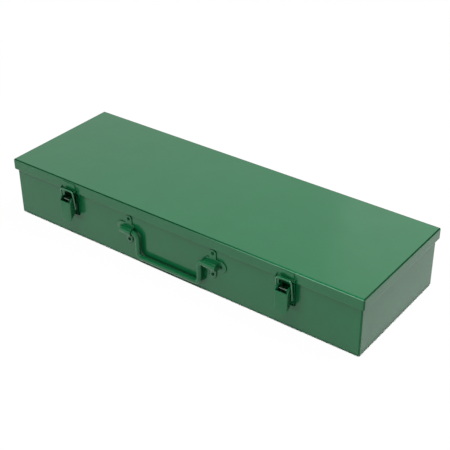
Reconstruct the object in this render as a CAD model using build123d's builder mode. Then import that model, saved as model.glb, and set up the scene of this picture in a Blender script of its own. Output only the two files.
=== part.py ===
from build123d import *
import math
import os

# A flat sheet-steel case with a lift lid, two draw latches, a bail handle and inner trays.
# X runs along the case, the latched front faces -Y and Z is up.
# The origin is the middle of the underside. All sizes are in millimetres.

# Case and lid
lid_length = 540.0
lid_width = 180.0
case_height = 81.5
lid_flange = 15.0
sheet = 1.0
inner_bend = 0.8
lid_play = 1.3
lid_rest_gap = 0.2
rim_hem = 8.0
lid_hem = 6.0
hem_notch = 5.0

# Trays
tray_sheet = 0.8
tray_side_gap = 0.5
bottom_tray_height = 40.0
tray_ledge = 8.0
tray_slide_gap = 0.2
sliding_tray_length = 262.0
sliding_tray_height = 28.0
tray_hem = 5.0
finger_notch = 12.0
bottom_divider_count = 3
sliding_divider_count = 2
divider_foot = 10.0
divider_gap = 0.3
divider_drop = 3.0

# Hinges
hinge_inset = 100.0
hinge_length = 50.0
hinge_sheet = 1.2
hinge_pin = 3.0
hinge_axis_drop = 1.5
hinge_knuckles = 5
knuckle_gap = 0.3
case_leaf_height = 28.0
lid_leaf_height = 14.0
leaf_step_drop = 10.0
leaf_step_rise = 4.5
leaf_clearance = 0.75
leaf_corner = 3.0
leaf_bend = 1.5
pin_head = 1.0
pin_play = 0.05

# Latches
left_latch_inset = 102.8
right_latch_inset = 100.5
latch_sheet = 1.2
base_width = 22.0
base_height = 31.0
base_wing = 3.0
base_chamfer = 2.0
base_below_edge = 3.0
pivot_below_edge = 8.6
pivot_out = 9.2
lever_pin = 2.6
lever_width = 18.0
lever_length = 32.0
lever_nose = 4.8
lever_ear = 3.0
lever_back = 3.6
lever_flare = 0.6
lever_flare_height = 5.5
lever_tip_round = 7.5
lever_plate_drop = 2.5
lever_edge_round = 1.1
lug_side_gap = 0.4
bail_wire = 2.2
bail_width = 21.0
bail_pivot_drop = 14.0
bail_pivot_out = 6.2
bail_end_bend = 1.4
bail_top_bend = 4.0
bail_hook_gap = 0.35
keeper_sheet = 0.8
keeper_width = 26.0
keeper_neck_width = 21.0
keeper_height = 12.0
keeper_wing = 3.6
keeper_above_edge = 1.0
hook_width = 18.0
hook_trough = 2.7
hook_above_edge = 3.5
hook_window_gap = 0.4

# Handle
handle_middle = -3.0
handle_rod = 7.0
handle_clear = 90.4
handle_drop = 32.2
handle_corner = 6.0
handle_shoulder = 7.8
handle_standoff = 1.9
journal_round = 1.0
journal_end_gap = 0.4
saddle_width = 18.5
saddle_play = 0.3
saddle_side_gap = 0.4
saddle_foot = 3.0
bracket_sheet = 1.2
bracket_lobe = 5.3
bracket_reach = 15.0
bracket_outer_lobe = 8.0
bracket_outer_step = 3.0
bracket_below_edge = 1.9

# Rivets
rivet_head = 4.2
rivet_height = 1.0
rivet_round = 0.8
hinge_rivet_pitch = 32.0
base_rivet_pitch = 14.0

# Places that the pieces share
overhang = 2 * sheet + lid_play
case_length = lid_length - 2 * overhang
case_width = lid_width - 2 * overhang
rim_height = case_height - sheet - lid_rest_gap
flange_edge = case_height - lid_flange
back_wall = case_width / 2
lid_back = lid_width / 2
front_face = Plane.XZ.offset(case_width / 2)
lid_front_face = Plane.XZ.offset(lid_width / 2)
sides = {"left": -1, "right": 1}


def out(distance):
    """Y of a point that stands this far out from the case's front wall."""
    return -case_width / 2 - distance


def save(piece, name):
    """Label a finished piece and write it to its own file."""
    piece.part.label = name
    export_step(piece.part, f"parts/{name}.step")


def folded_pan(length, width, depth, thickness, floor_plane):
    """Open pan folded from one sheet, its walls rising along the plane's normal."""
    rise = Axis(floor_plane.origin, floor_plane.z_dir)
    with BuildPart() as pan:
        with BuildSketch(floor_plane):
            RectangleRounded(length, width, inner_bend + thickness)
        extrude(amount=depth)
        fillet(pan.faces().sort_by(rise)[0].edges(), inner_bend + thickness)
        with BuildSketch(floor_plane.offset(thickness)):
            RectangleRounded(length - 2 * thickness, width - 2 * thickness, inner_bend)
        extrude(amount=depth - thickness, mode=Mode.SUBTRACT)
        fillet(pan.faces().filter_by(rise).sort_by(rise)[1].edges(), inner_bend)
    return pan.part


def hems(length, width, thickness, edge_plane, depth):
    """Strips folded back inside the four walls of a pan, stopping short of its corners."""
    with BuildPart() as strips:
        with BuildSketch(edge_plane):
            with GridLocations(0, width - 3 * thickness, 1, 2):
                Rectangle(length - 2 * hem_notch, thickness)
            with GridLocations(length - 3 * thickness, 0, 2, 1):
                Rectangle(thickness, width - 2 * hem_notch)
        extrude(amount=-depth)
    return strips.part


def rivet_heads(places, facing):
    """Low round rivet heads seated on a wall at the given places."""
    outermost = 0 if facing < 0 else -1
    with BuildPart() as heads:
        with Locations([Plane(origin=place, z_dir=(0, facing, 0)) for place in places]):
            Cylinder(rivet_head / 2, rivet_height, align=(Align.CENTER, Align.CENTER, Align.MIN))
        fillet(heads.edges().filter_by(GeomType.CIRCLE).group_by(Axis.Y)[outermost], rivet_round)
    return heads


os.makedirs("parts", exist_ok=True)

# Case body: a deep pan with its rim folded inwards
with BuildPart() as case_body:
    add(folded_pan(case_length, case_width, rim_height, sheet, Plane.XY))
    add(hems(case_length, case_width, sheet, Plane.XY.offset(rim_height), rim_hem))
save(case_body, "case_body")

# Lid: a shallow pan turned over the case, its flange edge folded inwards
lid_top_plane = Plane(origin=(0, 0, case_height), x_dir=(1, 0, 0), z_dir=(0, 0, -1))
with BuildPart() as lid:
    add(folded_pan(lid_length, lid_width, lid_flange, sheet, lid_top_plane))
    add(hems(lid_length, lid_width, sheet, lid_top_plane.offset(lid_flange), lid_hem))
save(lid, "lid")

# Bottom tray: stands on the case floor, its long edges turned in as ledges for the upper tray
tray_length = case_length - 2 * (2 * sheet + tray_side_gap)
tray_width = case_width - 2 * (2 * sheet + tray_side_gap)
divider_width = tray_width - 4 * tray_sheet - 2 * divider_gap
ledge_top = sheet + bottom_tray_height
with BuildPart() as bottom_tray:
    add(folded_pan(tray_length, tray_width, bottom_tray_height, tray_sheet, Plane.XY.offset(sheet)))
    with BuildSketch(Plane.XY.offset(ledge_top)):
        with GridLocations(0, tray_width - tray_ledge, 1, 2):
            Rectangle(tray_length - 2 * hem_notch, tray_ledge)
    extrude(amount=-tray_sheet)
save(bottom_tray, "bottom_tray")

# Upper tray: half the length of the case, slides on the ledges, notched at both ends for a finger
sliding_tray_x = -(tray_length - sliding_tray_length) / 2
sliding_tray_floor = ledge_top + tray_slide_gap
sliding_tray_top = sliding_tray_floor + sliding_tray_height
tray_floor_plane = Plane((sliding_tray_x, 0, sliding_tray_floor))
tray_edge_plane = Plane((sliding_tray_x, 0, sliding_tray_top))
with BuildPart() as sliding_tray:
    add(folded_pan(sliding_tray_length, tray_width, sliding_tray_height, tray_sheet, tray_floor_plane))
    add(hems(sliding_tray_length, tray_width, tray_sheet, tray_edge_plane, tray_hem))
    with BuildSketch(Plane.YZ.offset(sliding_tray_x)):
        with Locations((0, sliding_tray_top)):
            SlotOverall(4 * finger_notch, 2 * finger_notch)
    extrude(amount=sliding_tray_length, both=True, mode=Mode.SUBTRACT)
save(sliding_tray, "sliding_tray")


def divider(x, floor, height):
    """Cross wall with a bent foot that stands on a tray floor."""
    with BuildPart() as wall:
        with BuildSketch(Plane.XZ):
            with BuildLine():
                FilletPolyline(
                    (x + divider_foot, floor),
                    (x, floor),
                    (x, floor + height),
                    radius=inner_bend + tray_sheet,
                )
                offset(amount=tray_sheet, side=Side.RIGHT)
            make_face()
        extrude(amount=divider_width / 2, both=True)
    return wall


bottom_divider_height = bottom_tray_height - 2 * tray_sheet - divider_gap
for number in range(1, bottom_divider_count + 1):
    divider_x = -tray_length / 2 + tray_length * number / (bottom_divider_count + 1)
    save(divider(divider_x, sheet + tray_sheet, bottom_divider_height), f"bottom_tray_divider_{number}")

sliding_divider_height = sliding_tray_height - tray_sheet - divider_drop
for number in range(1, sliding_divider_count + 1):
    share = number / (sliding_divider_count + 1)
    divider_x = sliding_tray_x + sliding_tray_length * (share - 0.5)
    save(
        divider(divider_x, sliding_tray_floor + tray_sheet, sliding_divider_height),
        f"sliding_tray_divider_{number}",
    )

# Hinges: the knuckles stand outside the lid's back flange, just below its edge
knuckle_radius = hinge_pin / 2 + pin_play + hinge_sheet
hinge_y = lid_back + knuckle_radius
hinge_z = flange_edge - hinge_axis_drop
knuckle_length = (hinge_length - (hinge_knuckles - 1) * knuckle_gap) / hinge_knuckles
case_leaf_top = hinge_z - knuckle_radius - leaf_clearance
lid_leaf_bottom = hinge_z + knuckle_radius + leaf_clearance
case_leaf_bottom = hinge_z - case_leaf_height
lid_leaf_top = hinge_z + lid_leaf_height


def knuckles(x, first, leaf_edge):
    """Every second roll of a hinge, each with the tongue that joins it to the leaf."""
    with BuildPart() as rolls:
        for number in range(first, hinge_knuckles, 2):
            start = x - hinge_length / 2 + number * (knuckle_length + knuckle_gap)
            with BuildSketch(Plane.YZ.offset(start)):
                with Locations((hinge_y, hinge_z)):
                    Circle(knuckle_radius)
                with Locations((lid_back + hinge_sheet / 2, (hinge_z + leaf_edge) / 2)):
                    Rectangle(hinge_sheet, abs(hinge_z - leaf_edge))
                with Locations((hinge_y, hinge_z)):
                    Circle(hinge_pin / 2 + pin_play, mode=Mode.SUBTRACT)
            extrude(amount=knuckle_length)
    return rolls.part


for side, sign in sides.items():
    hinge_x = sign * (lid_length / 2 - hinge_inset)

    with BuildPart() as case_leaf:
        with BuildSketch(Plane.YZ.offset(hinge_x)):
            with BuildLine():
                FilletPolyline(
                    (back_wall, case_leaf_bottom),
                    (back_wall, hinge_z - leaf_step_drop),
                    (lid_back, hinge_z - leaf_step_drop + leaf_step_rise),
                    (lid_back, case_leaf_top),
                    radius=leaf_bend,
                )
                offset(amount=hinge_sheet, side=Side.RIGHT)
            make_face()
        extrude(amount=hinge_length / 2, both=True)
        fillet(case_leaf.edges().filter_by(Axis.Y).group_by(Axis.Z)[0], leaf_corner)
        add(knuckles(hinge_x, 0, case_leaf_top))
    save(case_leaf, f"hinge_leaf_case_{side}")

    with BuildPart() as lid_leaf:
        with BuildSketch(Plane.YZ.offset(hinge_x)):
            with Locations((lid_back + hinge_sheet / 2, (lid_leaf_bottom + lid_leaf_top) / 2)):
                Rectangle(hinge_sheet, lid_leaf_top - lid_leaf_bottom)
        extrude(amount=hinge_length / 2, both=True)
        fillet(lid_leaf.edges().filter_by(Axis.Y).group_by(Axis.Z)[-1], leaf_corner)
        add(knuckles(hinge_x, 1, lid_leaf_bottom))
    save(lid_leaf, f"hinge_leaf_lid_{side}")

    with BuildPart() as pin:
        with BuildSketch(Plane.YZ.offset(hinge_x)):
            with Locations((hinge_y, hinge_z)):
                Circle(hinge_pin / 2)
        extrude(amount=hinge_length / 2 + pin_head, both=True)
        for end in (-1, 1):
            with BuildSketch(Plane.YZ.offset(hinge_x + end * hinge_length / 2)):
                with Locations((hinge_y, hinge_z)):
                    Circle(knuckle_radius - hinge_sheet / 2)
            extrude(amount=end * pin_head)
    save(pin, f"hinge_pin_{side}")

hinge_rivet_x = [
    sign * (lid_length / 2 - hinge_inset) + step * hinge_rivet_pitch / 2
    for sign in sides.values()
    for step in (-1, 1)
]
case_rivet_z = (case_leaf_bottom + hinge_z - leaf_step_drop) / 2
lid_rivet_z = (lid_leaf_bottom + lid_leaf_top) / 2
case_rivet_places = [(x, back_wall + hinge_sheet, case_rivet_z) for x in hinge_rivet_x]
lid_rivet_places = [(x, lid_back + hinge_sheet, lid_rivet_z) for x in hinge_rivet_x]
save(rivet_heads(case_rivet_places, 1), "hinge_rivets_case")
save(rivet_heads(lid_rivet_places, 1), "hinge_rivets_lid")

# Latches: the lever swings on a pin between two lugs, and its wire bail reaches up to a hook on the lid
pivot_z = flange_edge - pivot_below_edge
base_top = flange_edge - base_below_edge
base_middle = base_top - base_height / 2
lever_front = pivot_out + lever_nose
lever_inside = lever_front - latch_sheet
tip_front = lever_front + lever_flare
tip_inside = lever_inside + lever_flare
tip_z = pivot_z - lever_length
flare_z = tip_z + lever_flare_height
plate_top = pivot_z - lever_plate_drop
lever_crown = pivot_z + lever_ear
lug_half = lever_width / 2 - latch_sheet - lug_side_gap
bail_pivot_z = pivot_z - bail_pivot_drop
taper_z = bail_pivot_z - bail_wire - latch_sheet
shoulder_z = bail_pivot_z + bail_wire + latch_sheet

# The hook's trough and the wire's two places: lying in the trough, and standing free of the lip
hook_middle = overhang + keeper_sheet + hook_trough / 2
hook_floor = flange_edge + hook_above_edge
hook_centre = hook_floor + hook_trough / 2
lip_outside = overhang + 2 * keeper_sheet + hook_trough
bail_length = math.hypot(hook_middle - bail_pivot_out, hook_floor + bail_wire / 2 - bail_pivot_z)
bail_rest_out = lip_outside + bail_hook_gap + bail_wire / 2
bail_lean = math.asin((bail_rest_out - bail_pivot_out) / bail_length)
keeper_bottom = flange_edge + keeper_above_edge
window_top = hook_centre + hook_window_gap

latch_places = {"left": left_latch_inset - lid_length / 2, "right": lid_length / 2 - right_latch_inset}
for side, latch_x in latch_places.items():
    latch_plane = Plane.YZ.offset(latch_x)

    with BuildPart() as base:
        with BuildSketch(front_face):
            with Locations((latch_x, base_middle)):
                Rectangle(base_width, base_height)
        extrude(amount=base_wing)
        chamfer(base.edges().filter_by(Axis.X).group_by(Axis.Y)[0], base_chamfer)
        with BuildSketch(front_face.offset(latch_sheet)):
            with Locations((latch_x, base_middle)):
                Rectangle(base_width - 2 * latch_sheet, base_height)
        extrude(amount=base_wing, mode=Mode.SUBTRACT)
        for lug_side in (-1, 1):
            with BuildSketch(Plane.YZ.offset(latch_x + lug_side * lug_half)):
                with BuildLine():
                    Polyline(
                        (out(pivot_out), pivot_z + lever_ear),
                        (out(latch_sheet), pivot_z + lever_ear),
                        (out(latch_sheet), pivot_z - lever_ear),
                        (out(pivot_out), pivot_z - lever_ear),
                    )
                    ThreePointArc(
                        (out(pivot_out), pivot_z - lever_ear),
                        (out(pivot_out + lever_ear), pivot_z),
                        (out(pivot_out), pivot_z + lever_ear),
                    )
                make_face()
                with Locations((out(pivot_out), pivot_z)):
                    Circle(lever_pin / 2 + pin_play, mode=Mode.SUBTRACT)
            extrude(amount=-lug_side * latch_sheet)
    save(base, f"latch_base_{side}")

    with BuildPart() as pivot_pin:
        with BuildSketch(latch_plane):
            with Locations((out(pivot_out), pivot_z)):
                Circle(lever_pin / 2)
        extrude(amount=lever_width / 2, both=True)
    save(pivot_pin, f"latch_pin_{side}")

    with BuildPart() as lever:
        with BuildSketch(latch_plane):
            with BuildLine():
                Polyline(
                    (out(pivot_out - lever_ear), pivot_z),
                    (out(pivot_out + lever_ear), pivot_z),
                    (out(lever_front), plate_top),
                    (out(lever_front), flare_z),
                )
                TangentArc((out(lever_front), flare_z), (out(tip_front), tip_z), tangent=(0, -1))
                Line((out(tip_front), tip_z), (out(tip_inside), tip_z))
                TangentArc((out(lever_inside), flare_z), (out(tip_inside), tip_z), tangent=(0, -1))
                Polyline(
                    (out(lever_inside), flare_z),
                    (out(lever_back), taper_z),
                    (out(lever_back), shoulder_z),
                    (out(pivot_out - lever_ear), pivot_z),
                )
            make_face()
        extrude(amount=lever_width / 2, both=True)
        fillet(lever.edges().filter_by(Axis.Z).group_by(Axis.Y)[0], lever_edge_round)
        with BuildSketch(front_face) as lever_outline:
            with Locations((latch_x, tip_z)):
                Rectangle(lever_width, lever_length + lever_ear, align=(Align.CENTER, Align.MIN))
            fillet(lever_outline.vertices().group_by(Axis.Y)[0], lever_tip_round)
        extrude(amount=tip_front, mode=Mode.INTERSECT)
        with BuildSketch(latch_plane):
            with BuildLine():
                Polyline(
                    (out(0), flare_z),
                    (out(lever_inside), flare_z),
                    (out(lever_inside), plate_top),
                    (out(lever_front + latch_sheet), plate_top),
                    (out(lever_front + latch_sheet), lever_crown + latch_sheet),
                    (out(0), lever_crown + latch_sheet),
                    close=True,
                )
            make_face()
        extrude(amount=lever_width / 2 - latch_sheet, both=True, mode=Mode.SUBTRACT)
        for ear_side in (-1, 1):
            with BuildSketch(Plane.YZ.offset(latch_x + ear_side * lever_width / 2)):
                with Locations((out(pivot_out), pivot_z)):
                    Circle(lever_ear)
            extrude(amount=-ear_side * latch_sheet)
        with BuildSketch(latch_plane):
            with Locations((out(pivot_out), pivot_z)):
                Circle(lever_pin / 2 + pin_play)
            with Locations((out(bail_pivot_out), bail_pivot_z)):
                Circle(bail_wire / 2 + pin_play)
        extrude(amount=lever_width, both=True, mode=Mode.SUBTRACT)
    save(lever, f"latch_lever_{side}")

    bail_plane = Plane(
        origin=(latch_x, out(bail_pivot_out), bail_pivot_z),
        x_dir=(1, 0, 0),
        z_dir=(0, -math.cos(bail_lean), -math.sin(bail_lean)),
    )
    bail_half = bail_width / 2
    bail_end = lever_width / 2 - latch_sheet - lug_side_gap / 2
    with BuildPart() as bail:
        with BuildLine(bail_plane) as bail_path:
            FilletPolyline(
                (-bail_end, 0),
                (-bail_half, 0),
                (-bail_half, bail_length),
                (bail_half, bail_length),
                (bail_half, 0),
                (bail_end, 0),
                radius=(bail_end_bend, bail_top_bend, bail_top_bend, bail_end_bend),
            )
        with BuildSketch(Plane(origin=bail_path.line @ 0, z_dir=bail_path.line % 0)):
            Circle(bail_wire / 2)
        sweep()
    save(bail, f"latch_bail_{side}")

    with BuildPart() as keeper:
        with BuildSketch(lid_front_face):
            with Locations((latch_x, keeper_bottom)):
                Rectangle(keeper_neck_width, keeper_height, align=(Align.CENTER, Align.MIN))
            with Locations((latch_x, keeper_bottom)):
                Rectangle(keeper_width, window_top - keeper_bottom, align=(Align.CENTER, Align.MIN))
            with Locations((latch_x, keeper_bottom)):
                Rectangle(
                    hook_width + 2 * hook_window_gap,
                    hook_centre - keeper_bottom,
                    align=(Align.CENTER, Align.MIN),
                    mode=Mode.SUBTRACT,
                )
        extrude(amount=keeper_sheet)
        for wing_side in (-1, 1):
            with BuildSketch(Plane.YZ.offset(latch_x + wing_side * keeper_width / 2)):
                with BuildLine():
                    Polyline(
                        (-lid_width / 2, keeper_bottom),
                        (-lid_width / 2 - keeper_wing, keeper_bottom),
                        (-lid_width / 2 - keeper_wing, hook_floor),
                        (-lid_width / 2 - keeper_sheet, window_top),
                        (-lid_width / 2, window_top),
                        close=True,
                    )
                make_face()
            extrude(amount=-wing_side * keeper_sheet)
        with BuildSketch(latch_plane):
            with Locations((out(hook_middle), hook_centre)):
                Circle(hook_trough / 2 + keeper_sheet)
                Circle(hook_trough / 2, mode=Mode.SUBTRACT)
                Rectangle(
                    hook_trough + 4 * keeper_sheet,
                    hook_trough + 2 * keeper_sheet,
                    align=(Align.CENTER, Align.MIN),
                    mode=Mode.SUBTRACT,
                )
            with Locations((out(lip_outside), hook_centre)):
                Rectangle(keeper_sheet, hook_window_gap, align=(Align.MIN, Align.MIN))
            with Locations((out(overhang), hook_centre)):
                Rectangle(keeper_sheet, hook_window_gap, align=(Align.MAX, Align.MIN))
        extrude(amount=hook_width / 2, both=True)
    save(keeper, f"latch_keeper_{side}")

base_rivet_z = base_top - base_height + rivet_head
base_rivet_x = [x + step * base_rivet_pitch / 2 for x in latch_places.values() for step in (-1, 1)]
base_rivet_places = [(x, out(latch_sheet), base_rivet_z) for x in base_rivet_x]
save(rivet_heads(base_rivet_places, -1), "latch_base_rivets")

# Handle: a round rod, bent up at both ends of the grip and then outwards into two journals
handle_axis_out = overhang + handle_standoff
handle_axis_z = flange_edge - bracket_below_edge - bracket_reach - bracket_lobe
saddle_inside = handle_rod / 2 + saddle_play
saddle_outside = saddle_inside + bracket_sheet
arm_x = (handle_clear + handle_rod) / 2
grip_z = handle_axis_z - handle_drop
saddle_x = arm_x + handle_shoulder + saddle_side_gap
journal_end = saddle_x + saddle_width - bracket_sheet - journal_end_gap
handle_plane = Plane(origin=(handle_middle, out(handle_axis_out), 0), x_dir=(1, 0, 0), z_dir=(0, -1, 0))
with BuildPart() as handle:
    with BuildLine(handle_plane) as handle_path:
        FilletPolyline(
            (-journal_end, handle_axis_z),
            (-arm_x, handle_axis_z),
            (-arm_x, grip_z),
            (arm_x, grip_z),
            (arm_x, handle_axis_z),
            (journal_end, handle_axis_z),
            radius=(handle_shoulder, handle_corner, handle_corner, handle_shoulder),
        )
    with BuildSketch(Plane(origin=handle_path.line @ 0, z_dir=handle_path.line % 0)):
        Circle(handle_rod / 2)
    sweep()
    fillet(handle.edges().filter_by(GeomType.CIRCLE).group_by(Axis.X)[0], journal_round)
    fillet(handle.edges().filter_by(GeomType.CIRCLE).group_by(Axis.X)[-1], journal_round)
save(handle, "handle")

# Handle brackets: three-lobed plates, each with a half-round saddle that is closed at its outer end
upper_lobe_z = handle_axis_z + bracket_reach
lower_lobe_z = handle_axis_z - bracket_reach
bracket_rivet_places = []
for side, sign in sides.items():
    lobe_x = handle_middle + sign * (saddle_x + saddle_width / 2)
    outer_x = handle_middle + sign * (saddle_x + saddle_width)
    outer_lobe_x = outer_x + sign * bracket_outer_step
    with BuildPart() as bracket:
        with BuildSketch(front_face):
            with Locations((lobe_x, handle_axis_z)):
                Rectangle(saddle_width, 2 * (saddle_outside + saddle_foot))
                Rectangle(2 * bracket_lobe, 2 * bracket_reach)
            with Locations((lobe_x, upper_lobe_z), (lobe_x, lower_lobe_z)):
                Circle(bracket_lobe)
            with Locations((outer_lobe_x, handle_axis_z)):
                Circle(bracket_outer_lobe)
            with Locations((lobe_x, handle_axis_z)):
                Rectangle(saddle_width, 2 * saddle_inside, mode=Mode.SUBTRACT)
        extrude(amount=bracket_sheet)
        with BuildSketch(Plane.YZ.offset(lobe_x)):
            with Locations((out(handle_axis_out), handle_axis_z)):
                Circle(saddle_outside)
                Rectangle(handle_axis_out, 2 * saddle_outside, align=(Align.MIN, Align.CENTER))
                Circle(saddle_inside, mode=Mode.SUBTRACT)
                Rectangle(
                    handle_axis_out,
                    2 * saddle_inside,
                    align=(Align.MIN, Align.CENTER),
                    mode=Mode.SUBTRACT,
                )
        extrude(amount=saddle_width / 2, both=True)
        with BuildSketch(Plane.YZ.offset(outer_x)):
            with Locations((out(handle_axis_out), handle_axis_z)):
                Circle(saddle_outside)
                Rectangle(handle_axis_out, 2 * saddle_outside, align=(Align.MIN, Align.CENTER))
        extrude(amount=-sign * bracket_sheet)
    save(bracket, f"handle_bracket_{side}")
    bracket_rivet_places.append((lobe_x, out(bracket_sheet), upper_lobe_z))
    bracket_rivet_places.append((lobe_x, out(bracket_sheet), lower_lobe_z))
    bracket_rivet_places.append((outer_lobe_x, out(bracket_sheet), handle_axis_z))
save(rivet_heads(bracket_rivet_places, -1), "handle_bracket_rivets")
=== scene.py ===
"""Green enamelled steel case with two draw latches and a bail handle, in a white studio."""

import math

import bmesh
import bpy
from mathutils import Matrix, Vector


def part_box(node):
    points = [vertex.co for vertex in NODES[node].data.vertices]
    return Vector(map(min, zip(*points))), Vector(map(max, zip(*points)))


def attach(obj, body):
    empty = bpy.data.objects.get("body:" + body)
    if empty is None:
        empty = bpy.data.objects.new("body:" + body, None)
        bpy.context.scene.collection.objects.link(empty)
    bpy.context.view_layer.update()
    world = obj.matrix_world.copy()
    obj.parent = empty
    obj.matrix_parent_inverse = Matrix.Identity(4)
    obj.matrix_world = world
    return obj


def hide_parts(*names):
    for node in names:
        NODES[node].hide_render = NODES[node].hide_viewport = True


bl_info = {
    "name": "Enamelled Steel Case",
    "version": (1, 0, 0),
    "blender": (4, 5, 0),
    "location": "View3D > Sidebar > Steel Case",
    "description": "Dresses a folded steel case in green enamel and sets it in a white studio",
    "category": "Object",
}

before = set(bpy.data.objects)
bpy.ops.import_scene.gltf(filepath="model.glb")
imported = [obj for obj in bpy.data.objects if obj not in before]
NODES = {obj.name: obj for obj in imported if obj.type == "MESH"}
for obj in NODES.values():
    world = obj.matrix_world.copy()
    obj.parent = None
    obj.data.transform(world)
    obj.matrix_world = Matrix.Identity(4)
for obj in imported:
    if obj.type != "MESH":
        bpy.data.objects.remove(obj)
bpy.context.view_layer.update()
MM = 0.001
SIDES = ("left", "right")

# Vertices nearer than this are merged, and faces that differ by less than this angle are joined
MERGE_DISTANCE = 0.002 * MM
LEVEL_ANGLE = math.radians(0.6)
# Edges sharper than the first angle are rounded by paint; the others keep an edge sharp in the shading
CUT_ANGLE = math.radians(32)
SHARP_ON_FITTINGS = math.radians(40)
SHARP_ON_SHEET = math.radians(30)

# Material slots of a folded sheet's coats: plain, with a painted highlight along the lid's front bend,
# painted shade on folds, and painted shade in corners and along the case's foot; a fitting has the first two
FLAT, EDGE, PAINTED_SHADE, CORNER = range(4)
# Steps round a sheet's outer bend, its rolled hem, its inner bend and the corner of its outline
BEND_STEPS, HEM_STEPS, INNER_STEPS, CORNER_STEPS = 8, 8, 4, 5
# First step of the lid's outer bend with the painted highlight; the steps above it take a painted dark line
# of shade
HIGHLIGHT_STEP = 6
# Faces along the long and the short sides
LONG_STEPS, SHORT_STEPS = 24, 8
# Rows of a flat panel, as shares of the way from its bend to its middle
PANEL_ROWS = (0.995, 0.8, 0.55, 0.3, 0.1, 0.008)
# Distance of the loops that keep flat sheet flat beside a bend, and the least radius of a corner
SUPPORT = 0.6 * MM
LEAST_RADIUS = 0.05 * MM

# Noise values taken for a thin and a thick coat, and how far the roughness goes below and above its setting
THIN_COAT, THICK_COAT = 0.25, 0.75
GLOSSIER, DULLER = 0.04, 0.05
# Depth and strength of the bumps that waves in the sheet and orange peel make
WAVE_DEPTH, WAVE_STRENGTH = 0.8 * MM, 0.5
PEEL_DEPTH, PEEL_STRENGTH = 0.05 * MM, 0.15
# Width of the scratches on a drawn pin, coarser than real ones so that they show, the scale that draws them
# out along the pin, and the roughness that they give
SCRATCH_WIDTH, SCRATCH_STRETCH = 0.25 * MM, 0.08
SMOOTH_STEEL, ROUGH_STEEL = 0.14, 0.28

# Faces round a rivet's head and rings of faces on its dome
HEAD_SIDES, HEAD_RINGS = 28, 6
# Share of its height that the dome loses at the rim, and the power by which it falls off from the middle
DOME_FALL, DOME_POWER = 0.62, 2.4
# Height above a blank's middle from which a vertex belongs to the dome
DOME_START = 0.1 * MM

# Points of the case that lamps are turned to, in metres
LID_TOP, LID_TOP_RIGHT = (0, 0, 0.08), (0.25, 0, 0.08)
FRONT, FRONT_RIGHT, RIGHT_END = (0, -0.09, 0.04), (0.1, -0.09, 0.04), (0.27, 0, 0.04)
# Distances from the case's middle, in metres, over which the floor's glow rises from the share to the whole
GLOW_START, GLOW_END, GLOW_SHARE = 0.3, 0.8, 0.97
# Width of the contact shadow at the case's foot as the enamel mirrors it, and as the camera sees it
MIRRORED_CONTACT, SEEN_CONTACT = 5 * MM, 0.05 * MM
# Paleness of the floor where it throws light back, and where the camera sees it
LIT_PALENESS, SEEN_PALENESS = 0.6, 0.95
FLOOR_DROP = 0.5 * MM
BLACK = (0.01, 0.01, 0.01, 1)
# Width of the camera's sensor in millimetres
SENSOR = 36.0


def linear(hex_colour):
    """Linear RGB of an sRGB hex colour."""
    values = [int(hex_colour[i : i + 2], 16) / 255 for i in (1, 3, 5)]
    return tuple(v / 12.92 if v <= 0.04045 else ((v + 0.055) / 1.055) ** 2.4 for v in values)


def add_node(tree, kind, settings=None, links=None):
    """Add a node, set its properties or input values, and link sockets into its inputs."""
    node = tree.nodes.new(kind)
    for key, value in (settings or {}).items():
        if isinstance(key, str) and hasattr(node, key):
            setattr(node, key, value)
        else:
            node.inputs[key].default_value = value
    for key, socket in (links or {}).items():
        tree.links.new(socket, node.inputs[key])
    return node


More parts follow.
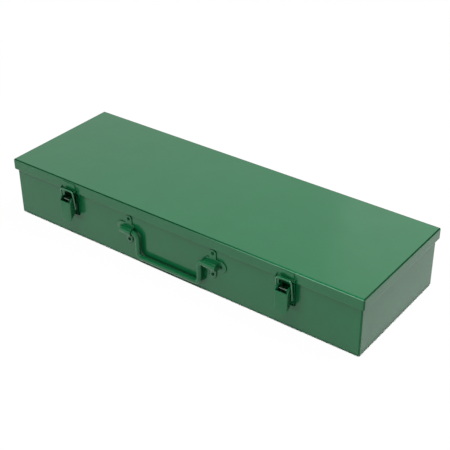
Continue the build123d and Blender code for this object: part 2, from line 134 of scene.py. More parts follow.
class EnamelSettings(bpy.types.PropertyGroup):
    """Colours and finish of the enamel and the bare steel"""

    paint: bpy.props.FloatVectorProperty(
        name="Paint", description="Colour of the enamel",
        subtype="COLOR", size=3, min=0, max=1, default=linear("#125F38"),
    )
    # Deep paint is the coat's own thicker patches, and also painted shade in the sheet's corners and along
    # the case's foot
    deep_paint_and_shade: bpy.props.FloatVectorProperty(
        name="Deep paint and shade", description="Colour where the coat is thicker, and of the painted shade in corners and along the case's foot",
        subtype="COLOR", size=3, min=0, max=1, default=linear("#0F5632"),
    )
    # Painted shade: a dark line along the lid's folds, and dark latch bases, keeper hooks, bracket edges and
    # rivet heads
    shade_paint: bpy.props.FloatVectorProperty(
        name="Shade paint", description="Colour of the painted shade on folds, latch bases, keeper hooks, bracket edges and rivet heads",
        subtype="COLOR", size=3, min=0, max=1, default=linear("#07361E"),
    )
    # Painted highlight: a light line along the outside of the lid's front bend, growing to the right
    highlight_paint: bpy.props.FloatVectorProperty(
        name="Highlight paint", description="Colour of the rubbed coat along the outside of a bend",
        subtype="COLOR", size=3, min=0, max=1, default=linear("#5F9074"),
    )
    steel: bpy.props.FloatVectorProperty(
        name="Steel", description="Colour of the bare pins",
        subtype="COLOR", size=3, min=0, max=1, default=linear("#6C7D73"),
    )
    # Where the painted highlight grows along the lid's front bend, and the painted dark line above it fades
    highlight_start: bpy.props.FloatProperty(
        name="Highlight start", description="Place along the case where the lid's bend starts to be rubbed",
        default=20 * MM, unit="LENGTH",
    )
    highlight_end: bpy.props.FloatProperty(
        name="Highlight end", description="Place along the case from which the lid's bend is rubbed all through",
        default=190 * MM, unit="LENGTH",
    )
    roughness: bpy.props.FloatProperty(
        name="Roughness", description="Roughness of the cured enamel on sheet",
        default=0.16, min=0, max=1, subtype="FACTOR",
    )
    fitting_roughness: bpy.props.FloatProperty(
        name="Fitting roughness", description="Roughness of the thicker enamel on small fittings",
        default=0.15, min=0, max=1, subtype="FACTOR",
    )
    sheet_shine: bpy.props.FloatProperty(
        name="Sheet shine", description="Strength of the mirror image in flat sheet",
        default=0.43, min=0, max=1, subtype="FACTOR",
    )
    # Kept low so that the painted shade on folds and fittings stays dark
    shade_shine: bpy.props.FloatProperty(
        name="Shade shine", description="Strength of the mirror image in the painted shade, low so that it stays dark",
        default=0.03, min=0, max=1, subtype="FACTOR",
    )
    # Kept low in the painted shade of corners and the case's foot
    corner_shine: bpy.props.FloatProperty(
        name="Corner shine", description="Strength of the mirror image in corners and the case's foot",
        default=0.18, min=0, max=1, subtype="FACTOR",
    )
    fitting_shine: bpy.props.FloatProperty(
        name="Fitting shine", description="Strength of the mirror image in pressed fittings",
        default=0.34, min=0, max=1, subtype="FACTOR",
    )
    fitting_edge_shine: bpy.props.FloatProperty(
        name="Fitting edge shine", description="Strength of the mirror image in the edges of fittings",
        default=0.6, min=0, max=1, subtype="FACTOR",
    )
    wire_shine: bpy.props.FloatProperty(
        name="Wire shine", description="Strength of the mirror image in the latches' wire",
        default=0.8, min=0, max=1, subtype="FACTOR",
    )
    patch: bpy.props.FloatProperty(
        name="Coat patches", description="Width of the patches in which the coat is thicker or thinner",
        default=35 * MM, min=1 * MM, unit="LENGTH",
    )
    peel: bpy.props.FloatProperty(
        name="Orange peel", description="Width of the sprayed coat's ripples, drawn coarse enough to show",
        default=2.2 * MM, min=0.2 * MM, unit="LENGTH",
    )
    wave: bpy.props.FloatProperty(
        name="Sheet wave", description="Length of the waves left in the folded sheet",
        default=90 * MM, min=10 * MM, unit="LENGTH",
    )


class ShapeSettings(bpy.types.PropertyGroup):
    """Sizes of the folds and edges"""

    sheet: bpy.props.FloatProperty(
        name="Sheet", description="Thickness of the case and lid sheet",
        default=1.0 * MM, unit="LENGTH",
    )
    outer_bend: bpy.props.FloatProperty(
        name="Outer bend", description="Outside radius of the folds",
        default=1.8 * MM, unit="LENGTH",
    )
    rim_hem: bpy.props.FloatProperty(
        name="Rim hem", description="Depth of the fold inside the case's rim",
        default=8.0 * MM, unit="LENGTH",
    )
    lid_hem: bpy.props.FloatProperty(
        name="Lid hem", description="Depth of the fold inside the lid's flange",
        default=6.0 * MM, unit="LENGTH",
    )
    edge_round: bpy.props.FloatProperty(
        name="Edge rounding", description="Rounding that paint gives to cut edges",
        default=0.3 * MM, unit="LENGTH",
    )
    hook_start: bpy.props.FloatProperty(
        name="Hook start", description="Distance in front of the lid from which a keeper is its hook",
        default=1.2 * MM, unit="LENGTH",
    )


class StageSettings(bpy.types.PropertyGroup):
    """Camera, floor and room"""

    azimuth: bpy.props.FloatProperty(
        name="Azimuth", description="Camera's turn round the case from its front",
        default=math.radians(36.939), subtype="ANGLE",
    )
    elevation: bpy.props.FloatProperty(
        name="Elevation", description="Camera's height above the horizon",
        default=math.radians(32.160), subtype="ANGLE",
    )
    roll: bpy.props.FloatProperty(
        name="Roll", description="Camera's lean",
        default=math.radians(-0.449), subtype="ANGLE",
    )
    distance: bpy.props.FloatProperty(
        name="Distance", description="Camera's distance from the origin along its axis",
        default=1.329559, unit="LENGTH",
    )
    aside: bpy.props.FloatProperty(
        name="Aside", description="Camera's shift to its right",
        default=12.607 * MM, unit="LENGTH",
    )
    raised: bpy.props.FloatProperty(
        name="Raised", description="Camera's shift upwards",
        default=26.334 * MM, unit="LENGTH",
    )
    lens: bpy.props.FloatProperty(
        name="Lens", description="Focal length on a 36 mm sensor, in millimetres",
        default=81.458,
    )
    white: bpy.props.FloatVectorProperty(
        name="White", description="Colour of floor and backdrop",
        subtype="COLOR", size=3, min=0, max=1, default=(1.0, 1.0, 1.0),
    )
    room_light: bpy.props.FloatProperty(
        name="Room light", description="Strength of the even light that comes from all round",
        default=0.05, min=0, max=1, subtype="FACTOR",
    )
    floor_width: bpy.props.FloatProperty(
        name="Floor width", description="Width of the square floor",
        default=12.0, unit="LENGTH",
    )


def new_material(name):
    """An empty node material and its tree."""
    material = bpy.data.materials.new(name)
    material.use_nodes = True
    material.node_tree.nodes.clear()
    return material, material.node_tree


def lit_bend_share(tree, place):
    """Share of the lid's front bend that is painted lit, with a highlight and without its painted dark line:
    none at the left, growing to the right, and none on the corner there.
    """
    coat = bpy.context.scene.case_enamel
    bend = bpy.context.scene.case_shape.outer_bend
    low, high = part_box("lid")
    axes = add_node(tree, "ShaderNodeSeparateXYZ", links={0: place}).outputs
    along = add_node(
        tree, "ShaderNodeMapRange", {"From Min": coat.highlight_start, "From Max": coat.highlight_end},
        {"Value": axes["X"]},
    ).outputs["Result"]
    front = add_node(
        tree, "ShaderNodeMath", {"operation": "LESS_THAN", 1: low.y + bend}, {0: axes["Y"]}
    ).outputs[0]
    before_corner = add_node(
        tree, "ShaderNodeMath", {"operation": "LESS_THAN", 1: high.x - bend}, {0: axes["X"]}
    ).outputs[0]
    highlighted = add_node(
        tree, "ShaderNodeMath", {"operation": "MULTIPLY"}, {0: front, 1: before_corner}
    ).outputs[0]
    return add_node(tree, "ShaderNodeMath", {"operation": "MULTIPLY"}, {0: along, 1: highlighted}).outputs[0]


def enamel(name, paint, second_paint, roughness, shine, lit_bend=False):
    """Air-dried alkyd enamel sprayed on steel: an even, deep green with a soft gloss and faint orange peel.

    The second paint shows where the coat is thick, or instead where the lid's front bend is painted lit: a
    painted highlight, or the end of a painted dark line.
    """
    if name in bpy.data.materials:
        return bpy.data.materials[name]
    coat = bpy.context.scene.case_enamel
    material, tree = new_material(name)
    place = add_node(tree, "ShaderNodeTexCoord").outputs["Object"]
    thickness = add_node(
        tree, "ShaderNodeTexNoise", {"Scale": 1 / coat.patch, "Detail": 3.0, "Roughness": 0.55},
        {"Vector": place},
    ).outputs["Fac"]
    share = lit_bend_share(tree, place) if lit_bend else thickness
    colour = add_node(
        tree, "ShaderNodeMix", {"data_type": "RGBA", 6: (*paint, 1), 7: (*second_paint, 1)}, {0: share}
    ).outputs[2]
    gloss = add_node(
        tree, "ShaderNodeMapRange",
        {
            "From Min": THIN_COAT, "From Max": THICK_COAT,
            "To Min": roughness - GLOSSIER, "To Max": roughness + DULLER,
        },
        {"Value": thickness},
    ).outputs["Result"]
    wave = add_node(
        tree, "ShaderNodeTexNoise", {"Scale": 1 / coat.wave, "Detail": 1.0}, {"Vector": place}
    ).outputs["Fac"]
    peel = add_node(
        tree, "ShaderNodeTexNoise", {"Scale": 1 / coat.peel, "Detail": 2.0}, {"Vector": place}
    ).outputs["Fac"]
    waved = add_node(
        tree, "ShaderNodeBump", {"Strength": WAVE_STRENGTH, "Distance": WAVE_DEPTH}, {"Height": wave}
    ).outputs["Normal"]
    rippled = add_node(
        tree, "ShaderNodeBump", {"Strength": PEEL_STRENGTH, "Distance": PEEL_DEPTH},
        {"Height": peel, "Normal": waved},
    ).outputs["Normal"]
    shader = add_node(
        tree, "ShaderNodeBsdfPrincipled", {"IOR": 1.5, "Specular IOR Level": shine},
        {"Base Color": colour, "Roughness": gloss, "Normal": rippled},
    )
    add_node(tree, "ShaderNodeOutputMaterial", links={"Surface": shader.outputs["BSDF"]})
    return material


def drawn_steel():
    """Drawn steel wire for pins: plain grey metal with fine scratches along the pin."""
    name = "drawn_steel"
    if name in bpy.data.materials:
        return bpy.data.materials[name]
    coat = bpy.context.scene.case_enamel
    material, tree = new_material(name)
    place = add_node(tree, "ShaderNodeTexCoord").outputs["Object"]
    along = add_node(
        tree, "ShaderNodeMapping", {"Scale": (SCRATCH_STRETCH, 1.0, 1.0)}, {"Vector": place}
    ).outputs["Vector"]
    scratch = add_node(
        tree, "ShaderNodeTexNoise", {"Scale": 1 / SCRATCH_WIDTH, "Detail": 2.0}, {"Vector": along}
    ).outputs["Fac"]
    gloss = add_node(
        tree, "ShaderNodeMapRange", {"To Min": SMOOTH_STEEL, "To Max": ROUGH_STEEL}, {"Value": scratch}
    ).outputs["Result"]
    shader = add_node(
        tree, "ShaderNodeBsdfPrincipled", {"Base Color": (*coat.steel, 1), "Metallic": 1.0},
        {"Roughness": gloss},
    )
    add_node(tree, "ShaderNodeOutputMaterial", links={"Surface": shader.outputs["BSDF"]})
    return material


def sheet_coats():
    """The coat on flat sheet, the one with the painted highlight along the lid's front bend, the dark, dull
    one painted as shade on folds, and the one painted as shade in corners and along the case's foot.
    """
    coat = bpy.context.scene.case_enamel
    gloss = coat.roughness
    flat = enamel("green_enamel", coat.paint, coat.deep_paint_and_shade, gloss, coat.sheet_shine)
    edge = enamel("green_enamel_on_edges", coat.paint, coat.highlight_paint, gloss, coat.sheet_shine, True)
    fold = enamel("green_enamel_on_folds", coat.shade_paint, coat.paint, gloss, coat.shade_shine, True)
    corner = enamel("green_enamel_on_corners", coat.deep_paint_and_shade, coat.deep_paint_and_shade, gloss, coat.corner_shine)
    return flat, edge, fold, corner


def fitting_coats():
    """The thick coat on pressed fittings, and the same coat run glossy over their edges."""
    coat = bpy.context.scene.case_enamel
    gloss = coat.fitting_roughness
    flat = enamel("green_enamel_on_fittings", coat.paint, coat.deep_paint_and_shade, gloss, coat.fitting_shine)
    edge = enamel("green_enamel_on_fitting_edges", coat.paint, coat.paint, gloss, coat.fitting_edge_shine)
    return flat, edge


def wire_coat():
    """The thin, glossy coat on bent wire."""
    coat = bpy.context.scene.case_enamel
    return enamel("green_enamel_on_wire", coat.paint, coat.paint, coat.roughness, coat.wire_shine)


def place_piece(name, mesh, body, node):
    """Put a finished mesh in the scene in place of a CAD node, riding on a body."""
    piece = bpy.data.objects.new(name, mesh)
    bpy.context.scene.collection.objects.link(piece)
    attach(piece, body)
    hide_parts(node)


def evaluated_mesh(holder):
    """Plain mesh of an object with its modifiers worked in. The object is removed."""
    mesh = bpy.data.meshes.new_from_object(
        holder.evaluated_get(bpy.context.evaluated_depsgraph_get())
    )
    bpy.data.objects.remove(holder)
    return mesh


def softened(node, materials):
    """Merged copy of a CAD node's mesh with its cut edges rounded; the rounding takes the edge's coat."""
    mesh = NODES[node].data.copy()
    shape = bmesh.new()
    shape.from_mesh(mesh)
    bmesh.ops.remove_doubles(shape, verts=shape.verts, dist=MERGE_DISTANCE)
    bmesh.ops.dissolve_limit(
        shape, angle_limit=LEVEL_ANGLE, verts=shape.verts, edges=shape.edges, delimit=set()
    )
    for face in shape.faces:
        face.material_index = FLAT
    shape.to_mesh(mesh)
    shape.free()
    mesh.materials.clear()
    for material in materials:
        mesh.materials.append(material)
    holder = bpy.data.objects.new("holder", mesh)
    bpy.context.scene.collection.objects.link(holder)
    bevel = holder.modifiers.new("rounding", "BEVEL")
    bevel.width = bpy.context.scene.case_shape.edge_round
    bevel.segments = 2
    bevel.limit_method = "ANGLE"
    bevel.angle_limit = CUT_ANGLE
    bevel.material = EDGE
    finished = evaluated_mesh(holder)
    finished.shade_smooth()
    finished.set_sharp_from_angle(angle=SHARP_ON_FITTINGS)
    finished.name = node
    return finished


def dress(names, body, materials):
    """Replace each CAD node with its softened copy in the given finish."""
    for name in names:
        place_piece(name + "_enamelled", softened(name, materials), body, name)


def ring(half_x, half_y, radius, z):
    """Points of a rounded rectangle at one height, each with a mark for the start of a corner's facet."""
    radius = max(radius, LEAST_RADIUS)
    inner_x, inner_y = half_x - radius, half_y - radius
    # Sides of each corner and the angle in degrees at which its arc starts
    corners = ((-1, -1, 180), (1, -1, 270), (1, 1, 0), (-1, 1, 90))
    points = []
    for index, (side_x, side_y, start) in enumerate(corners):
        centre = Vector((side_x * inner_x, side_y * inner_y, z))
        for step in range(CORNER_STEPS + 1):
            angle = math.radians(start + 90 * step / CORNER_STEPS)
            offset = Vector((math.cos(angle), math.sin(angle), 0)) * radius
            points.append((centre + offset, step < CORNER_STEPS))
        begin = points[-1][0]
        is_long = index % 2 == 0
        length = 2 * (inner_x if is_long else inner_y)
        along = Vector((-math.sin(angle), math.cos(angle), 0))
        steps = LONG_STEPS if is_long else SHORT_STEPS
        inset = min(SUPPORT, length / SHORT_STEPS)
        places = [inset + (length - 2 * inset) * step / steps for step in range(steps + 1)]
        points.extend((begin + along * place, False) for place in places)
    return points


def bend_coat(step, is_lid):
    """Coat on a step of the outer bend: on the lid, a painted dark line of shade, then a painted highlight;
    on the case's foot, painted shade.
    """
    if step == 0:
        return FLAT
    if not is_lid:
        return CORNER
    return PAINTED_SHADE if step < HIGHLIGHT_STEP else EDGE


def pan_profile(half_y, closed_z, open_z, hem):
    """Rows of a folded pan, from its panel to its inside: inset, height, corner radius and coat."""
    shape = bpy.context.scene.case_shape
    sheet, bend = shape.sheet, shape.outer_bend
    inner_bend = bend - sheet
    is_lid = closed_z > open_z
    up = 1 if is_lid else -1
    panel = half_y - bend
    rows = [(bend + panel * share, closed_z, 0, FLAT) for share in PANEL_ROWS]
    for step in range(BEND_STEPS + 1):
        angle = math.radians(90 * step / BEND_STEPS)
        inset = bend * (1 - math.sin(angle))
        z = closed_z - up * bend * (1 - math.cos(angle))
        rows.append((inset, z, bend - inset, bend_coat(step, is_lid)))
    rows.append((0, closed_z - up * (bend + SUPPORT), bend, FLAT))
    rows.append((0, open_z + up * (sheet + SUPPORT), bend, FLAT))
    rows.append((0, open_z + up * sheet, bend, FLAT))
    for step in range(1, HEM_STEPS + 1):
        angle = math.radians(180 * step / HEM_STEPS)
        inset = sheet * (1 - math.cos(angle))
        rows.append((inset, open_z + up * sheet * (1 - math.sin(angle)), bend - inset, FLAT))
    rows.append((2 * sheet, open_z + up * (sheet + SUPPORT), 0, FLAT))
    rows.append((2 * sheet, open_z + up * hem, 0, FLAT))
    # The hem's cut edge takes the coat that carries the painted highlight along the front
    rows.append((sheet, open_z + up * hem, inner_bend, EDGE))
    rows.append((sheet, closed_z - up * (bend + SUPPORT), inner_bend, FLAT))
    for step in range(INNER_STEPS + 1):
        angle = math.radians(90 * step / INNER_STEPS)
        inset = sheet + inner_bend * (1 - math.cos(angle))
        z = closed_z - up * (sheet + inner_bend * (1 - math.sin(angle)))
        rows.append((inset, z, bend - inset, FLAT))
    rows.append((bend + SUPPORT, closed_z - up * sheet, 0, FLAT))
    rows.append((bend + panel * PANEL_ROWS[0], closed_z - up * sheet, 0, FLAT))
    return rows


def folded_shell(half_x, half_y, closed_z, open_z, hem):
    """Pan folded from sheet with its rim turned back inside; folds and corners take coats of their own,
    painted with shade and, on the lid's front bend, a highlight.
    """
    profile = pan_profile(half_y, closed_z, open_z, hem)
    shape = bmesh.new()
    loops = []
    for inset, z, radius, _ in profile:
        points = ring(half_x - inset, half_y - inset, radius, z)
        loops.append([shape.verts.new(point) for point, _ in points])
    facets = [facet for _, facet in points]
    shape.faces.new(loops[0])
    shape.faces.new(loops[-1])
    for first, second, (_, _, _, coat) in zip(loops, loops[1:], profile[1:]):
        for index, facet in enumerate(facets):
            after = (index + 1) % len(facets)
            face = shape.faces.new((first[index], first[after], second[after], second[index]))
            # Corner facets of plain rows take the painted shade of corners
            face.material_index = CORNER if facet and coat == FLAT else coat
    bmesh.ops.remove_doubles(shape, verts=shape.verts, dist=MERGE_DISTANCE)
    bmesh.ops.recalc_face_normals(shape, faces=shape.faces)
    mesh = bpy.data.meshes.new("folded_shell")
    shape.to_mesh(mesh)
    shape.free()
    mesh.shade_smooth()
    mesh.set_sharp_from_angle(angle=SHARP_ON_SHEET)
    for material in sheet_coats():
        mesh.materials.append(material)
    return mesh


class CASE_OT_shell(bpy.types.Operator):
    """Fold the case body and the lid from sheet and enamel them"""

    bl_idname = "case.shell"
    bl_label = "Case and lid"

    def execute(self, context):
        shape = context.scene.case_shape
        low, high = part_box("case_body")
        body = folded_shell(high.x, high.y, low.z, high.z, shape.rim_hem)
        place_piece("case_body_enamelled", body, "case", "case_body")
        low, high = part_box("lid")
        lid = folded_shell(high.x, high.y, high.z, low.z, shape.lid_hem)
        place_piece("lid_enamelled", lid, "lid", "lid")
        return {"FINISHED"}


class CASE_OT_hinges(bpy.types.Operator):
    """Enamel the hinge leaves and leave their pins bare"""

    bl_idname = "case.hinges"
    bl_label = "Hinges"

    def execute(self, context):
        coats = fitting_coats()
        steel = drawn_steel()
        dress([f"hinge_leaf_case_{side}" for side in SIDES], "case", coats)
        dress([f"hinge_leaf_lid_{side}" for side in SIDES], "lid", coats)
        dress([f"hinge_pin_{side}" for side in SIDES], "case", (steel, steel))
        return {"FINISHED"}


class CASE_OT_latches(bpy.types.Operator):
    """Enamel the draw latches: base, lever, wire bail and hooked keeper, with a bare pin"""

    bl_idname = "case.latches"
    bl_label = "Latches"

    def execute(self, context):
        coats = fitting_coats()
        # The latch bases take the dark, dull coat, painted shade
        dull = sheet_coats()[PAINTED_SHADE]
        wire = wire_coat()
        steel = drawn_steel()
        for side in SIDES:
            dress([f"latch_base_{side}"], "case", (dull, dull))
            dress([f"latch_pin_{side}"], "case", (steel, steel))
            dress([f"latch_lever_{side}"], f"lever_{side}", coats)
            dress([f"latch_bail_{side}"], f"bail_{side}", (wire, wire))
            self.keeper(context, f"latch_keeper_{side}")
        return {"FINISHED"}

    def keeper(self, context, node):
        """Keeper with the sheet's coat on its plate and the dark, dull one painted as shade on its hook."""
        coats = sheet_coats()
        hook_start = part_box("lid")[0].y - context.scene.case_shape.hook_start
        mesh = softened(node, (coats[FLAT], coats[PAINTED_SHADE]))
        for face in mesh.polygons:
            if face.center.y < hook_start:
                face.material_index = EDGE
        place_piece(node + "_enamelled", mesh, "lid", node)


class CASE_OT_handle(bpy.types.Operator):
    """Enamel the bent rod handle and its two brackets"""

    bl_idname = "case.handle"
    bl_label = "Handle"

    def execute(self, context):
        coats = sheet_coats()
        dress(["handle"], "handle", fitting_coats())
        brackets = [f"handle_bracket_{side}" for side in SIDES]
        # The brackets' edges take the dark, dull coat, painted shade round them
        dress(brackets, "case", (coats[FLAT], coats[PAINTED_SHADE]))
        return {"FINISHED"}


class CASE_OT_rivets(bpy.types.Operator):
    """Set the domed rivet heads on the hinges, latch bases and handle brackets"""

    bl_idname = "case.rivets"
    bl_label = "Rivets"

    def execute(self, context):
        tree = self.head_tree()
        self.heads(tree, "hinge_rivets_case", "case", 1)
        self.heads(tree, "hinge_rivets_lid", "lid", 1)
        self.heads(tree, "latch_base_rivets", "case", -1)
        self.heads(tree, "handle_bracket_rivets", "case", -1)
        return {"FINISHED"}

    def head_tree(self):
        """Node group that sets a domed head on every point of a mesh."""
        tree = bpy.data.node_groups.new("rivet_heads", "GeometryNodeTree")
        tree.is_modifier = True
        tree.interface.new_socket("Geometry", in_out="INPUT", socket_type="NodeSocketGeometry")
        for name in ("Radius", "Height", "Turn"):
            tree.interface.new_socket(name, in_out="INPUT", socket_type="NodeSocketFloat")
        tree.interface.new_socket("Coat", in_out="INPUT", socket_type="NodeSocketMaterial")
        tree.interface.new_socket("Geometry", in_out="OUTPUT", socket_type="NodeSocketGeometry")
        given = add_node(tree, "NodeGroupInput").outputs
        head = self.domed_head(tree, given)
        turn = add_node(tree, "ShaderNodeCombineXYZ", links={0: given["Turn"]}).outputs[0]
        heads = add_node(
            tree, "GeometryNodeInstanceOnPoints",
            links={"Points": given["Geometry"], "Instance": head, "Rotation": turn},
        ).outputs[0]
        real = add_node(tree, "GeometryNodeRealizeInstances", links={0: heads}).outputs[0]
        coated = add_node(
            tree, "GeometryNodeSetMaterial", links={"Geometry": real, "Material": given["Coat"]}
        ).outputs[0]
        add_node(tree, "NodeGroupOutput", links={0: coated})
        return tree

    def domed_head(self, tree, given):
        """Nodes of one head: a low cylinder that stands on the origin, with its top lowered into a dome."""
        blank = add_node(
            tree, "GeometryNodeMeshCylinder",
            {"Vertices": HEAD_SIDES, "Side Segments": 2, "Fill Segments": HEAD_RINGS},
            {"Radius": given["Radius"], "Depth": given["Height"]},
        ).outputs["Mesh"]
        place = add_node(tree, "GeometryNodeInputPosition").outputs[0]
        axes = add_node(tree, "ShaderNodeSeparateXYZ", links={0: place}).outputs
        flat = add_node(tree, "ShaderNodeCombineXYZ", links={0: axes[0], 1: axes[1]}).outputs[0]
        reach = add_node(tree, "ShaderNodeVectorMath", {"operation": "LENGTH"}, {0: flat}).outputs["Value"]
        share = add_node(
            tree, "ShaderNodeMath", {"operation": "DIVIDE"}, {0: reach, 1: given["Radius"]}
        ).outputs[0]
        curve = add_node(
            tree, "ShaderNodeMath", {"operation": "POWER", 1: DOME_POWER}, {0: share}
        ).outputs[0]
        drop = add_node(
            tree, "ShaderNodeMath", {"operation": "MULTIPLY", 1: -DOME_FALL}, {0: curve}
        ).outputs[0]
        fall = add_node(
            tree, "ShaderNodeMath", {"operation": "MULTIPLY"}, {0: drop, 1: given["Height"]}
        ).outputs[0]
        is_top = add_node(
            tree, "FunctionNodeCompare", {"operation": "GREATER_THAN", 1: DOME_START}, {0: axes[2]}
        ).outputs[0]
        sink = add_node(tree, "ShaderNodeCombineXYZ", links={2: fall}).outputs[0]
        domed = add_node(
            tree, "GeometryNodeSetPosition", links={"Geometry": blank, "Selection": is_top, "Offset": sink}
        ).outputs[0]
        half = add_node(
            tree, "ShaderNodeMath", {"operation": "MULTIPLY", 1: 0.5}, {0: given["Height"]}
        ).outputs[0]
        lift = add_node(tree, "ShaderNodeCombineXYZ", links={2: half}).outputs[0]
        seated = add_node(
            tree, "GeometryNodeTransform", links={"Geometry": domed, "Translation": lift}
        ).outputs[0]
        return add_node(tree, "GeometryNodeSetShadeSmooth", links={0: seated}).outputs[0]

    def heads(self, tree, node, body, facing):
        """One mesh of heads in place of a CAD node of rivets, facing to the back (1) or the front (-1)."""
        places, radius, height = self.seats(node, facing)
        points = bpy.data.meshes.new(node + "_places")
        points.from_pydata(places, [], [])
        holder = bpy.data.objects.new("holder", points)
        bpy.context.scene.collection.objects.link(holder)
        modifier = holder.modifiers.new("heads", "NODES")
        modifier.node_group = tree
        # The heads take the dark, dull coat, painted shade that shows them as dark dots
        coat = sheet_coats()[PAINTED_SHADE]
        values = {"Radius": radius, "Height": height, "Turn": -facing * math.pi / 2, "Coat": coat}
        for item in tree.interface.items_tree:
            if item.in_out == "INPUT" and item.name in values:
                modifier[item.identifier] = values[item.name]
        mesh = evaluated_mesh(holder)
        if not mesh.polygons:
            raise RuntimeError(f"no heads were made for {node}")
        place_piece(node + "_domed", mesh, body, node)

    def seats(self, node, facing):
        """Middle of each CAD rivet's seat, and the radius and height that the rivets of a node share."""
        shape = bmesh.new()
        shape.from_mesh(NODES[node].data)
        bmesh.ops.remove_doubles(shape, verts=shape.verts, dist=MERGE_DISTANCE)
        visited = set()
        places = []
        for start in shape.verts:
            if start in visited:
                continue
            rivet, waiting = {start}, [start]
            while waiting:
                vert = waiting.pop()
                near = {edge.other_vert(vert) for edge in vert.link_edges} - rivet
                rivet |= near
                waiting.extend(near)
            visited |= rivet
            low = Vector([min(vert.co[axis] for vert in rivet) for axis in range(3)])
            high = Vector([max(vert.co[axis] for vert in rivet) for axis in range(3)])
            middle = (low + high) / 2
            middle.y = low.y if facing > 0 else high.y
            places.append(middle)
        shape.free()
        return places, (high.x - low.x) / 2, high.y - low.y


class CASE_OT_trays(bpy.types.Operator):
    """Enamel the trays and their dividers"""

    bl_idname = "case.trays"
    bl_label = "Trays"

    def execute(self, context):
        coats = (sheet_coats()[FLAT], fitting_coats()[EDGE])
        for tray, body in (("bottom_tray", "case"), ("sliding_tray", "sliding_tray")):
            dividers = [name for name in sorted(NODES) if name.startswith(f"{tray}_divider")]
            dress([tray, *dividers], body, coats)
        return {"FINISHED"}


def light_path(tree):
    """Outputs of the light path, and a share that is 1 for what the camera sees, in a mirror image too."""
    ray = add_node(tree, "ShaderNodeLightPath").outputs
    seen = add_node(
        tree, "ShaderNodeMath", {"operation": "MAXIMUM"}, {0: ray["Is Camera Ray"], 1: ray["Is Glossy Ray"]}
    ).outputs[0]
    return ray, seen


def white_sweep(stage):
    """Matt white paper that looks evenly white, with a contact shadow at the case's foot."""
    material, tree = new_material("white_sweep")
    ray, seen = light_path(tree)
    place = add_node(tree, "ShaderNodeTexCoord").outputs["Object"]
    away = add_node(tree, "ShaderNodeVectorMath", {"operation": "LENGTH"}, {0: place}).outputs["Value"]
    glow = add_node(
        tree, "ShaderNodeMapRange",
        {"From Min": GLOW_START, "From Max": GLOW_END, "To Min": GLOW_SHARE, "To Max": 1.0}, {"Value": away},
    ).outputs["Result"]
    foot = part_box("case_body")[1]
    quarter = add_node(tree, "ShaderNodeVectorMath", {"operation": "ABSOLUTE"}, {0: place}).outputs[0]
    beyond = add_node(
        tree, "ShaderNodeVectorMath", {"operation": "SUBTRACT", 1: (foot.x, foot.y, 0)}, {0: quarter}
    ).outputs[0]
    outside = add_node(
        tree, "ShaderNodeVectorMath", {"operation": "MAXIMUM", 1: (0, 0, 0)}, {0: beyond}
    ).outputs[0]
    gap = add_node(tree, "ShaderNodeVectorMath", {"operation": "LENGTH"}, {0: outside}).outputs["Value"]
    contact = add_node(
        tree, "ShaderNodeMapRange", {"To Min": MIRRORED_CONTACT, "To Max": SEEN_CONTACT},
        {"Value": ray["Is Camera Ray"]},
    ).outputs["Result"]
    unshaded = add_node(
        tree, "ShaderNodeMapRange", links={"Value": gap, "From Max": contact}
    ).outputs["Result"]
    bright = add_node(tree, "ShaderNodeMath", {"operation": "MULTIPLY"}, {0: glow, 1: unshaded}).outputs[0]
    share = add_node(tree, "ShaderNodeMath", {"operation": "MULTIPLY"}, {0: seen, 1: bright}).outputs[0]
    paleness = add_node(
        tree, "ShaderNodeMapRange", {"To Min": LIT_PALENESS, "To Max": SEEN_PALENESS},
        {"Value": ray["Is Camera Ray"]},
    ).outputs["Result"]
    matt = add_node(tree, "ShaderNodeBsdfDiffuse", links={"Color": paleness}).outputs[0]
    lit = add_node(tree, "ShaderNodeEmission", {"Color": (*stage.white, 1), "Strength": 1.0}).outputs[0]
    mixed = add_node(tree, "ShaderNodeMixShader", links={0: share, 1: matt, 2: lit}).outputs[0]
    add_node(tree, "ShaderNodeOutputMaterial", links={"Surface": mixed})
    return material


def black_card():
    """Black card that takes light away from one side of the case."""
    name = "black_card"
    if name in bpy.data.materials:
        return bpy.data.materials[name]
    material, tree = new_material(name)
    matt = add_node(tree, "ShaderNodeBsdfDiffuse", {"Color": BLACK}).outputs[0]
    add_node(tree, "ShaderNodeOutputMaterial", links={"Surface": matt})
    return material


def turned(place, target):
    """Turn that points a lamp or a card at a place to its target."""
    return (Vector(target) - Vector(place)).to_track_quat("-Z", "Y").to_euler()


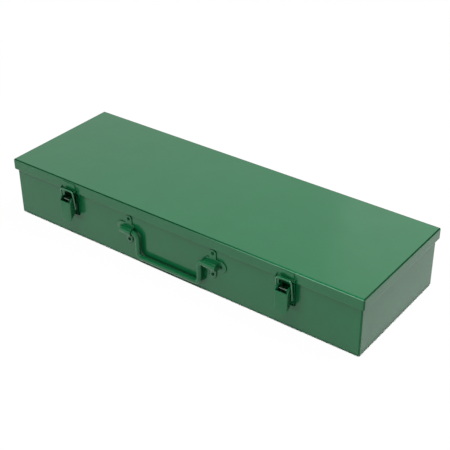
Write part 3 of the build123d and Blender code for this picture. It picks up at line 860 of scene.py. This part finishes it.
class CASE_OT_stage(bpy.types.Operator):
    """Set the floor, the studio light and the camera"""

    bl_idname = "case.stage"
    bl_label = "Studio"

    def execute(self, context):
        scene = context.scene
        stage = scene.case_stage
        self.floor(scene, stage)
        self.room(scene, stage)
        self.lamps(scene)
        self.card(scene, "black_card_front", (-0.85, -0.95, 1.25), (1.8, 1.4))
        self.card(scene, "black_card_back", (0.9, 1.2, 0.75), (0.9, 0.7))
        self.camera(scene, stage)
        scene.view_settings.view_transform = "Standard"
        return {"FINISHED"}

    def board(self, scene, name, size, material):
        """Flat rectangle that belongs to the stage."""
        shape = bmesh.new()
        bmesh.ops.create_grid(shape, x_segments=1, y_segments=1, size=0.5)
        bmesh.ops.scale(shape, vec=(*size, 1), verts=shape.verts)
        mesh = bpy.data.meshes.new(name)
        shape.to_mesh(mesh)
        shape.free()
        mesh.materials.append(material)
        board = bpy.data.objects.new(name, mesh)
        scene.collection.objects.link(board)
        return board

    def floor(self, scene, stage):
        """Floor just below the case."""
        size = (stage.floor_width, stage.floor_width)
        floor = self.board(scene, "studio_floor", size, white_sweep(stage))
        floor.location.z = -FLOOR_DROP

    def room(self, scene, stage):
        """Backdrop that looks white and gives little light of its own."""
        world = scene.world or bpy.data.worlds.new("studio")
        scene.world = world
        world.use_nodes = True
        tree = world.node_tree
        tree.nodes.clear()
        _, seen = light_path(tree)
        strength = add_node(
            tree, "ShaderNodeMapRange", {"To Min": stage.room_light, "To Max": 1.0}, {"Value": seen}
        ).outputs["Result"]
        light = add_node(
            tree, "ShaderNodeBackground", {"Color": (*stage.white, 1)}, {"Strength": strength}
        ).outputs[0]
        add_node(tree, "ShaderNodeOutputWorld", links={"Surface": light})

    def lamps(self, scene):
        """Softboxes over, in front of, beside and behind the case. The enamel mirrors two of them."""
        self.lamp(
            scene, "overhead_softbox", (0.45, 0.6, 1.3), LID_TOP, (1.0, 0.9), radiance=8.6, mirrored=True
        )
        self.lamp(scene, "fill_softbox", (0.0, -0.6, 1.4), FRONT, (1.2, 0.8), radiance=5.6)
        self.lamp(scene, "front_left_softbox", (-2.6, -3.6, 0.25), FRONT, (2.0, 0.5), radiance=24.0)
        self.lamp(scene, "front_right_softbox", (1.2, -1.9, 0.3), FRONT_RIGHT, (1.0, 0.3), radiance=7.0)
        self.lamp(scene, "right_softbox", (1.6, 0.6, 0.5), RIGHT_END, (0.8, 0.6), radiance=2.6)
        self.lamp(
            scene, "back_softbox", (-0.15, 1.3, 0.85), LID_TOP_RIGHT, (0.7, 0.7), radiance=0.34, mirrored=True
        )

    def lamp(self, scene, name, place, target, size, radiance, mirrored=False):
        """Rectangular lamp turned to a target."""
        data = bpy.data.lights.new(name, "AREA")
        data.shape = "RECTANGLE"
        data.size, data.size_y = size
        data.energy = radiance * math.pi * data.size * data.size_y
        lamp = bpy.data.objects.new(name, data)
        lamp.visible_glossy = mirrored
        lamp.location = place
        lamp.rotation_euler = turned(place, target)
        scene.collection.objects.link(lamp)

    def card(self, scene, name, place, size):
        """Card turned to the origin, which the camera does not see."""
        card = self.board(scene, name, size, black_card())
        card.location = place
        card.rotation_euler = turned(place, (0, 0, 0))
        card.visible_camera = False

    def camera(self, scene, stage):
        """Camera that looks along its axis past the origin."""
        back = Vector(
            (
                math.sin(stage.azimuth) * math.cos(stage.elevation),
                -math.cos(stage.azimuth) * math.cos(stage.elevation),
                math.sin(stage.elevation),
            )
        )
        level = Vector((math.cos(stage.azimuth), math.sin(stage.azimuth), 0))
        upright = back.cross(level)
        right = level * math.cos(stage.roll) + upright * math.sin(stage.roll)
        up = upright * math.cos(stage.roll) - level * math.sin(stage.roll)
        data = bpy.data.cameras.new("photo_camera")
        data.sensor_width = SENSOR
        data.lens = stage.lens
        camera = bpy.data.objects.new("photo_camera", data)
        axes = Matrix((right, up, back)).transposed()
        eye = back * stage.distance + right * stage.aside + up * stage.raised
        camera.matrix_world = Matrix.Translation(eye) @ axes.to_4x4()
        scene.collection.objects.link(camera)
        scene.camera = camera


class CASE_PT_panel(bpy.types.Panel):
    """List the operators and the settings"""

    bl_idname = "CASE_PT_panel"
    bl_label = "Steel case"
    bl_space_type = "VIEW_3D"
    bl_region_type = "UI"
    bl_category = "Steel Case"

    def draw(self, context):
        for operator in OPERATORS:
            self.layout.operator(operator.bl_idname)
        for group_name in GROUPS:
            group = getattr(context.scene, group_name)
            for name in group.bl_rna.properties.keys():
                if name not in ("rna_type", "name"):
                    self.layout.prop(group, name)


GROUPS = {"case_enamel": EnamelSettings, "case_shape": ShapeSettings, "case_stage": StageSettings}
OPERATORS = (
    CASE_OT_shell,
    CASE_OT_hinges,
    CASE_OT_latches,
    CASE_OT_handle,
    CASE_OT_rivets,
    CASE_OT_trays,
    CASE_OT_stage,
)


def register():
    for kind in (*GROUPS.values(), *OPERATORS, CASE_PT_panel):
        bpy.utils.register_class(kind)
    for name, kind in GROUPS.items():
        setattr(bpy.types.Scene, name, bpy.props.PointerProperty(type=kind))


def unregister():
    for name in GROUPS:
        delattr(bpy.types.Scene, name)
    for kind in reversed((*GROUPS.values(), *OPERATORS, CASE_PT_panel)):
        bpy.utils.unregister_class(kind)


def main():
    register()
    bpy.ops.case.shell()
    bpy.ops.case.hinges()
    bpy.ops.case.latches()
    bpy.ops.case.handle()
    bpy.ops.case.rivets()
    bpy.ops.case.trays()
    bpy.ops.case.stage()


if __name__ == "__main__":
    main()
